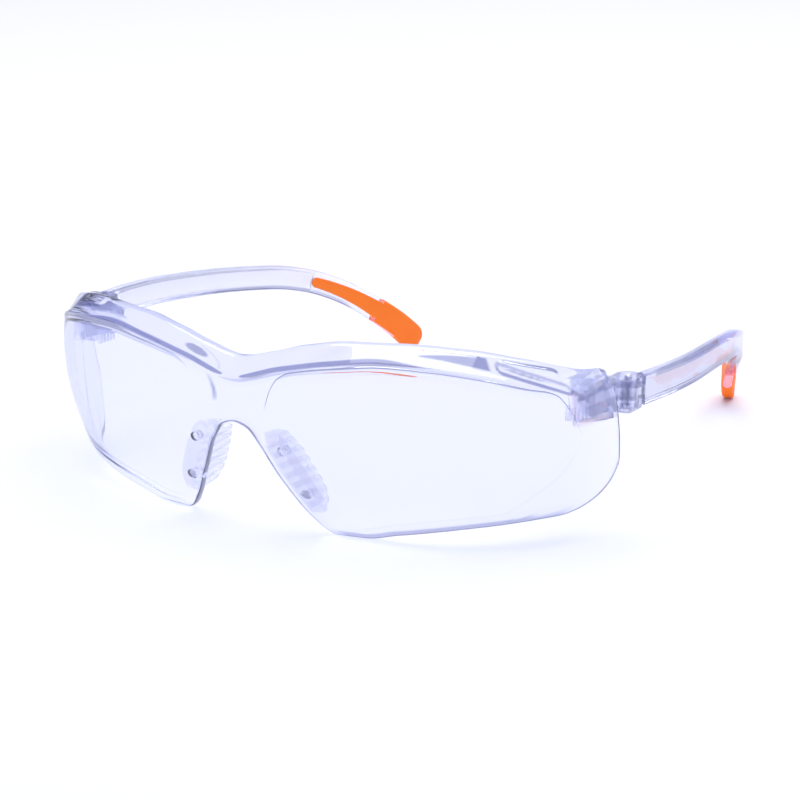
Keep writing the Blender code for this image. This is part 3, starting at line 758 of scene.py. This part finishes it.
def place_on_temple(points):
    """Distance along the temple and height in its section, for points near it."""
    coarse = slice(None, None, 4)
    away = np.linalg.norm(points[:, None] - TEMPLE_POINTS[None, coarse], axis=-1)
    s = TEMPLE_S[coarse][away.argmin(axis=1)]
    heights = np.empty(len(points))
    for i, p in enumerate(points):
        place, _, up = temple_frame(float(s[i]))
        heights[i] = (Vector(p) - place).dot(up)
    return s, heights


def stripe(x, low, high, soft=0.12):
    """1 between low and high, falling to 0 over a soft edge."""
    return smooth(-soft, soft, x - low) * (1 - smooth(-soft, soft, x - high))


def ridge_painted_shade(t, side, rise):
    """Painted shade along the ridge, standing in for its dark band, which swells beside the nose and fades
    towards the sides.
    """
    swell = np.sqrt(np.clip(1 - (np.clip(7 - t, 0, 5.0) / 5.0) ** 2, 0, 1)) * (1 - smooth(36, 50, t))
    swell = swell * np.where(side < 0, 0.86, 1.0)
    middle = 0.3 - 0.3 * smooth(32, 48, t)
    return stripe(rise, middle - 0.5 * swell, middle + 0.5 * swell) * (swell > 0.02)


def edge_painted_shade(t, side, z, depth):
    """Painted shade along the lower and rear edges, with a wider dark band on the wearer's left only."""
    from_edge = (z - lower_edge(t)) / np.interp(t, PLAN_T, edge_slope(PLAN_T))
    rim = (0.45 + 0.45 * smooth(14, 22, t)) * (1 - 0.8 * (side < 0) * smooth(24, 36, t))
    rim = rim * (from_edge < 0.3 + 0.2 * smooth(18, 24, t))
    wide = smooth(17, 24, t) * (1 - smooth(74, 80, t)) * smooth(1.7, 1.3, from_edge) * (depth < 1.0)
    rear = smooth(SIDE_LENGTH - 0.5, SIDE_LENGTH - 0.3, t) * (z < 27.5)
    return np.maximum(rim, 0.8 * np.maximum(wide, rear) * (side > 0))


def pocket_painted_shade(t, rise):
    """Painted shade round the brow's pockets: the first pocket's far end, the rounded second pocket, and its
    tail towards the lug.
    """
    wedge = stripe(rise, 1.8 - 0.035 * (t - 44), 1.95 + 0.1 * (t - 44)) * stripe(t, 44.5, 60.8, 0.25)
    # the second pocket's painted shade is heavier along its lower side
    centre = 2.25 - 0.02 * (t - 62) - 0.0072 * (t - 62) ** 2
    reach = np.clip((t - 63.5) / 1.2, -2, 0) ** 2 + np.clip((t - 78.2) / 1.3, 0, 3) ** 2
    away = np.sqrt(((rise - centre) / 1.2) ** 2 + reach)
    ring = stripe(away, 0.42, 1.05, 0.12) * (0.75 + 0.25 * smooth(0.3, -0.3, rise - centre))
    core = 0.8 * stripe(np.hypot((t - 69) / 5, (rise - centre - 0.2) / 0.25), -1, 1, 0.3)
    second = np.maximum(ring, core) * (t > 61.5) * (t < 81)
    tail = 0.85 * stripe(rise + 0.5 * (t - 78.8) + 0.1, -0.6, 0.6) * stripe(t, 78.6, 83.5, 0.4)
    return np.maximum.reduce([wedge, second, tail])


def nasal_painted_shade(t, rise, front, depth):
    """Painted shade for the first pocket's near end beside the nose, and a painted crescent below the ridge
    there.
    """
    drop = np.hypot((t - 9.8) / 3.2, (rise - 2.0) / 0.75)
    bow = np.hypot((t - 9.4) / 6.2, (rise - 1.0) / 2.2)
    outline = 0.5 * stripe(bow, 0.93, 1.0, 0.03) * (t < 9) * (rise > 0.9)
    pocket = np.maximum(smooth(1.05, 0.85, drop), outline) * front
    fall = np.clip((-rise - 1.0) / 5.5, 0, 1)
    curve = np.abs(t - 5.7 + 4.6 * fall - 3.2 * fall**2)
    crescent = smooth(0.8, 0.3, curve) * np.sqrt(np.sin(np.pi * fall)) * (depth < 1)
    return 0.9 * np.maximum(pocket, crescent)


def lug_painted_shade(t, z):
    """Painted shade on the outer face in the shapes of the lug seen through it."""
    rib = stripe(z - rib_at(t), -0.4, 0.4) * stripe(t, 80.2, 91.6, 0.4)
    foot = stripe(z, np.maximum(27.0, 30.5 - 0.85 * (t - 80.6)), 30.4 + 0.1 * (t - 83))
    edge = stripe(z - 30.7 - 0.1 * (t - 83.5), -0.25, 0.25) * stripe(t, 82, 91.6, 0.3)
    block = stripe(t, 88, 91.4, 0.3) * stripe(z, 33.2 + 0.2 * (t - 88), 34.4 + 0.3 * (t - 88))
    return np.maximum.reduce([0.9 * rib, 0.45 * foot * smooth(80.5, 82, t), 0.8 * block, 0.8 * edge])


def visor_painted_shade(points):
    """Painted shade where the moulded edges show dark bands: the ridge, the rims, the brow's pockets and the
    hinge lugs.
    """
    t, z, depth = place_on_visor(points)
    side, t = np.sign(t), np.abs(t)
    rise = z - ridge_at(t)
    front = (depth < 0.5 + np.clip(rise, 0, 4) * 0.9) & (z < top_at(t) - 0.4)
    marks = [ridge_painted_shade(t, side, rise) * front, edge_painted_shade(t, side, z, depth), pocket_painted_shade(t, rise) * front]
    marks.append(nasal_painted_shade(t, rise, front, depth) * (side < 0))
    marks.append(lug_painted_shade(t, z) * ((t > 80) & (depth < 0.9)))
    return np.maximum.reduce(marks)


def visor_fill(points):
    """How much light passes straight through: none, except in the thick lugs."""
    t, z, depth = place_on_visor(points)
    t = np.abs(t)
    low = 26.2 + 1.6 * smooth(82, 80, t)
    inside = (depth > 1.4) & (t > LUG_START) & (t < SIDE_LENGTH - 0.5) & (z > low) & (z < 37.5)
    return inside * (0.65 + 0.2 * smooth(84, 80, t))


def visor_glow(points):
    """Painted glow: emission on the nose arch's cut edge, standing in for the light gathered in the lens."""
    t, z, depth = place_on_visor(points)
    t = np.abs(t)
    edge = smooth(1.1, 0.5, z - lower_edge(t)) * smooth(0.15, 0.4, depth)
    return 0.3 * edge * smooth(4, 6, t) * smooth(20, 17, t)


def pad_look(points):
    """Painted shade and straight-through share of a nose pad. Its ribs and its pegs' heads are painted
    darker.
    """
    t, z, depth = place_on_visor(points)
    t = np.abs(t)
    along = (z - PAD_LOW) / (PAD_HIGH - PAD_LOW)
    from_root = t - arch_distance(z) - PAD_OFFSET
    rib = smooth(0.45, 0.85, np.abs(np.sin(np.pi * PAD_RIBS * along))) * smooth(3.6, 2.6, from_root)
    tint = 0.45 * rib * (depth > WALL + 0.5)
    for peg_t, peg_z in PEGS:
        away = np.hypot(t - peg_t, z - peg_z)
        tint = np.maximum(tint, 0.6 * (away < PEG_RADIUS + 0.4) * (depth > WALL + 1.2) * (depth < WALL + 2.4))
    return tint, 0.86 - 0.5 * tint


def temple_painted_shade(points, side_shade):
    """Painted shade on an arm: an even share for one side, a darker lower edge and a dark ring round its
    knuckle.
    """
    s, height = place_on_temple(points)
    half = temple_half_height(s)
    tint = np.maximum(side_shade, 0.6 * (1 - smooth(-half + 0.7, -half + 1.0, height)) * smooth(94, 90, s))
    near_hinge = (s < 4) * np.hypot(points[:, 0] - PIN_X, points[:, 1] - PIN_Y)
    rim = stripe(near_hinge, KNUCKLE_RADIUS + 0.25, KNUCKLE_RADIUS + 0.6, 0.05)
    return np.maximum(tint * (s < 92), 0.9 * rim)


def temple_fill(points):
    """How much light passes straight through the arm: some in its upper edge, most round the soft tip."""
    s, height = place_on_temple(points)
    half = temple_half_height(s)
    crown = 0.65 * smooth(half - 1.3, half - 0.8, height) * (s > 3)
    return np.maximum(crown, 0.8 * smooth(91, 96, s) - 0.45 * smooth(SLEEVE_START, SLEEVE_START + 1, s))


def temple_glow(points):
    """Painted glow: clear plastic close to the soft tip, and faintly along the arm's upper edge, gets a pink
    emission standing in for the light that the tip sends back.
    """
    s, height = place_on_temple(points)
    half = temple_half_height(s)
    crown = 0.1 * smooth(half - 1.6, half - 0.6, height) * smooth(40, 80, s)
    return np.maximum(crown, 0.6 * smooth(SLEEVE_START - 1.5, SLEEVE_START, s))


def camera():
    """The camera's place, direction and roll, from the photo's perspective."""
    data = bpy.data.cameras.new("camera")
    item = new_object("camera", data)
    data.sensor_width, data.lens = SENSOR, LENS
    data.clip_start, data.clip_end = 0.05, 20
    a, e = AZIMUTH, ELEVATION
    back = Vector((math.sin(a) * math.cos(e), -math.cos(a) * math.cos(e), math.sin(e)))
    right = Vector((math.cos(a), math.sin(a), 0))
    up = back.cross(right)
    c, s = math.cos(ROLL), math.sin(ROLL)
    turned_axes = Matrix((right * c + up * s, up * c - right * s, back)).transposed()
    item.matrix_world = Matrix.Translation(CAMERA_PLACE) @ turned_axes.to_4x4()
    bpy.context.scene.camera = item


def new_material(name):
    """A new material with its node tree, its main shader and its output."""
    made = bpy.data.materials.new(name)
    made.use_nodes = True
    tree = made.node_tree
    return made, tree, tree.nodes["Principled BSDF"], tree.nodes["Material Output"]


def noise(tree, scale, detail=3):
    """A noise texture in object coordinates, in metres."""
    place = tree.nodes.new("ShaderNodeTexCoord")
    texture = tree.nodes.new("ShaderNodeTexNoise")
    texture.inputs["Scale"].default_value = scale
    texture.inputs["Detail"].default_value = detail
    tree.links.new(place.outputs["Object"], texture.inputs["Vector"])
    return texture.outputs["Fac"]


def ranged(tree, value, low, high):
    """Maps 0..1 to low..high."""
    node = tree.nodes.new("ShaderNodeMapRange")
    node.inputs["To Min"].default_value = low
    node.inputs["To Max"].default_value = high
    tree.links.new(value, node.inputs["Value"])
    return node.outputs["Result"]


def attribute(tree, name):
    """A value painted on the piece's vertices."""
    node = tree.nodes.new("ShaderNodeAttribute")
    node.attribute_name = name
    return node.outputs["Fac"]


def blend(tree, factor, first, second):
    """A colour that goes from the first to the second with the factor."""
    node = tree.nodes.new("ShaderNodeMix")
    node.data_type = "RGBA"
    node.inputs["A"].default_value = (*first, 1)
    node.inputs["B"].default_value = (*second, 1)
    tree.links.new(factor, node.inputs["Factor"])
    return node.outputs["Result"]


def larger(tree, first, second):
    """The larger of two values."""
    node = tree.nodes.new("ShaderNodeMath")
    node.operation = "MAXIMUM"
    tree.links.new(first, node.inputs[0])
    tree.links.new(second, node.inputs[1])
    return node.outputs["Value"]


def bump(tree, shader, value, strength, distance):
    """Fine relief of the surface, in metres."""
    node = tree.nodes.new("ShaderNodeBump")
    node.inputs["Strength"].default_value = strength
    node.inputs["Distance"].default_value = distance
    tree.links.new(value, node.inputs["Height"])
    tree.links.new(node.outputs["Normal"], shader.inputs["Normal"])


def seen_emission(tree, shader):
    """Emission that the camera sees, straight on or through clear pieces, and that lights nothing else."""
    path = tree.nodes.new("ShaderNodeLightPath")
    seen = larger(tree, path.outputs["Is Camera Ray"], path.outputs["Is Transmission Ray"])
    amount = tree.nodes.new("ShaderNodeMath")
    amount.operation = "MULTIPLY"
    tree.links.new(seen, amount.inputs[0])
    tree.links.new(amount.outputs["Value"], shader.inputs["Emission Strength"])
    return amount.inputs[1]


def clear_plastic(name, light, roughness, waviness, absorb, see_through=0.0, glow=(1.0, 0.5, 0.7)):
    """Clear moulded plastic: refracting, with painted shade where the tint attribute is high and a painted
    glow where the glow attribute is high, light for shadow rays.
    """
    made, tree, shader, out = new_material(name)
    links = tree.links
    shader.inputs["IOR"].default_value = 1.585
    shader.inputs["Transmission Weight"].default_value = 1
    # painted shade: the base colour darkens towards the shade colour where the tint attribute is high
    links.new(blend(tree, attribute(tree, "tint"), light, PAINTED_SHADE_COLOR), shader.inputs["Base Color"])
    links.new(ranged(tree, noise(tree, 140), *roughness), shader.inputs["Roughness"])
    bump(tree, shader, noise(tree, 70, 1), waviness, 0.0004)
    shader.inputs["Emission Color"].default_value = (*glow, 1)
    links.new(attribute(tree, "glow"), seen_emission(tree, shader))
    volume = tree.nodes.new("ShaderNodeVolumeAbsorption")
    volume.inputs["Color"].default_value = (0.45, 0.5, 0.92, 1)
    volume.inputs["Density"].default_value = absorb
    links.new(volume.outputs["Volume"], out.inputs["Volume"])
    # light that passes straight through, without refraction
    path = tree.nodes.new("ShaderNodeLightPath")
    shadow = path.outputs["Is Shadow Ray"]
    thin = tree.nodes.new("ShaderNodeBsdfTransparent")
    links.new(blend(tree, shadow, (0.975, 0.98, 0.99), (0.9, 0.91, 0.94)), thin.inputs["Color"])
    mix = tree.nodes.new("ShaderNodeMixShader")
    share = ranged(tree, attribute(tree, "fill"), see_through, 1)
    links.new(larger(tree, share, shadow), mix.inputs[0])
    links.new(shader.outputs["BSDF"], mix.inputs[1])
    links.new(thin.outputs["BSDF"], mix.inputs[2])
    links.new(mix.outputs["Shader"], out.inputs["Surface"])
    return made


def soft_orange():
    """The soft, slightly translucent orange of the temple tips, with a faint painted glow."""
    made, tree, shader, _ = new_material("orange_soft")
    color = blend(tree, noise(tree, 90, 4), (1.0, 0.19, 0.015), (1.0, 0.25, 0.025))
    tree.links.new(color, shader.inputs["Base Color"])
    tree.links.new(ranged(tree, noise(tree, 500, 3), 0.42, 0.6), shader.inputs["Roughness"])
    shader.inputs["Specular IOR Level"].default_value = 0.2
    # painted light: an orange glow that the camera sees, which brightens the tips
    shader.inputs["Emission Color"].default_value = (1.0, 0.15, 0.01, 1)
    seen_emission(tree, shader).default_value = 0.16
    shader.inputs["Subsurface Weight"].default_value = 0.15
    shader.inputs["Subsurface Radius"].default_value = (1.0, 0.35, 0.1)
    shader.inputs["Subsurface Scale"].default_value = 0.001
    bump(tree, shader, noise(tree, 2600, 2), 0.12, 0.00005)
    return made


def pin_steel():
    """The brushed steel of the hinge pins."""
    made, tree, shader, _ = new_material("pin_steel")
    shader.inputs["Metallic"].default_value = 1
    color = blend(tree, noise(tree, 900, 3), (0.62, 0.62, 0.66), (0.76, 0.76, 0.8))
    tree.links.new(color, shader.inputs["Base Color"])
    tree.links.new(ranged(tree, noise(tree, 1500, 4), 0.2, 0.38), shader.inputs["Roughness"])
    bump(tree, shader, noise(tree, 4000, 2), 0.1, 0.00002)
    return made


def stage():
    """A plain pale floor, an even pale room and one large soft lamp overhead."""
    mesh = bpy.data.meshes.new("floor")
    r = 6.0
    mesh.from_pydata([(-r, -r, 0), (r, -r, 0), (r, r, 0), (-r, r, 0)], [], [(0, 1, 2, 3)])
    floor = new_object("floor", mesh)
    floor.location.z = -0.0002
    made, tree, shader, _ = new_material("floor")
    shader.inputs["Base Color"].default_value = (0.95, 0.95, 0.95, 1)
    tree.links.new(ranged(tree, noise(tree, 30), 0.85, 0.95), shader.inputs["Roughness"])
    mesh.materials.append(made)
    world = bpy.data.worlds.new("studio")
    world.use_nodes = True
    back = world.node_tree.nodes["Background"]
    back.inputs["Color"].default_value = (0.42, 0.44, 0.62, 1)
    back.inputs["Strength"].default_value = 1
    bpy.context.scene.world = world
    lamp = bpy.data.lights.new("overhead", "AREA")
    lamp.size, lamp.energy = 1.6, 24
    item = new_object("overhead", lamp)
    item.location = (0, 0.3, 1.6)
    item.rotation_euler = (-Vector(item.location)).to_track_quat("-Z", "Y").to_euler()
    bpy.context.scene.view_settings.view_transform = "Standard"


def show(item, node, body, material):
    """Gives the piece its name and material, and lets it ride on its body in the CAD node's place."""
    item.name = item.data.name = f"{node}_look"
    item.data.materials.clear()
    item.data.materials.append(material)
    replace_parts(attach(item, body), node)


def paint_temple(item, side):
    """Paints an arm. The places along it are those of the wearer's left one, so the right one is mirrored."""
    left = side == "left"
    points = design_points(item) * (1 if left else -1, 1, 1)
    # painted shade: the wearer's left arm gets an even share of it as well
    paint(item, temple_painted_shade(points, 0.2 if left else 0.0))
    paint(item, temple_fill(points), "fill")
    paint(item, temple_glow(points), "glow")


def main():
    """Makes the camera, the stage and every piece of the glasses."""
    camera()
    stage()
    # the lens's last colour is its painted glow, lavender; the arm keeps the default pink
    lens = clear_plastic("clear_lens", (0.93, 0.94, 1), (0.0, 0.012), 0.03, 70, 0, (0.55, 0.57, 0.95))
    hinge = clear_plastic("clear_hinge", (0.93, 0.935, 1), (0.0, 0.05), 0.05, 70, 0.35)
    arm = clear_plastic("clear_arm", (0.95, 0.955, 0.99), (0.0, 0.05), 0.08, 35, 0.1)
    soft = clear_plastic("clear_soft", (0.95, 0.955, 1), (0.12, 0.3), 0.2, 25)
    orange, steel = soft_orange(), pin_steel()
    body = visor()
    points = design_points(body)
    # painted shade on the visor, then its straight-through share and its painted glow
    paint(body, visor_painted_shade(points))
    paint(body, visor_fill(points), "fill")
    paint(body, visor_glow(points), "glow")
    show(body, "visor", "visor", lens)
    arm_body, carrier_body, pad_body = temple(), hinge_carrier(), nose_pad()
    # the carrier's tongue, in front of its bridge, lets light straight through so that the slot stays clear
    paint(carrier_body, np.full(len(carrier_body.data.vertices), 0.06))
    paint(carrier_body, 0.8 * smooth(43, 40, design_points(carrier_body)[:, 1]), "fill")
    tint, fill = pad_look(design_points(pad_body))
    paint(paint(pad_body, tint), fill, "fill")
    pieces = [
        (pad_body, "nose_pad", "visor", soft),
        (carrier_body, "hinge_carrier", "hinge", hinge),
        (hinge_pin(), "hinge_pin", "hinge", steel),
        (arm_body, "temple", "temple", arm),
        (temple_tip(), "temple_tip", "temple", orange),
    ]
    for item, node, rides, material in pieces:
        for piece, side in ((mirrored_copy(item, node), "right"), (item, "left")):
            if node == "temple":
                paint_temple(piece, side)
            show(piece, f"{node}_{side}", rides if rides == "visor" else f"{rides}_{side}", material)


main()
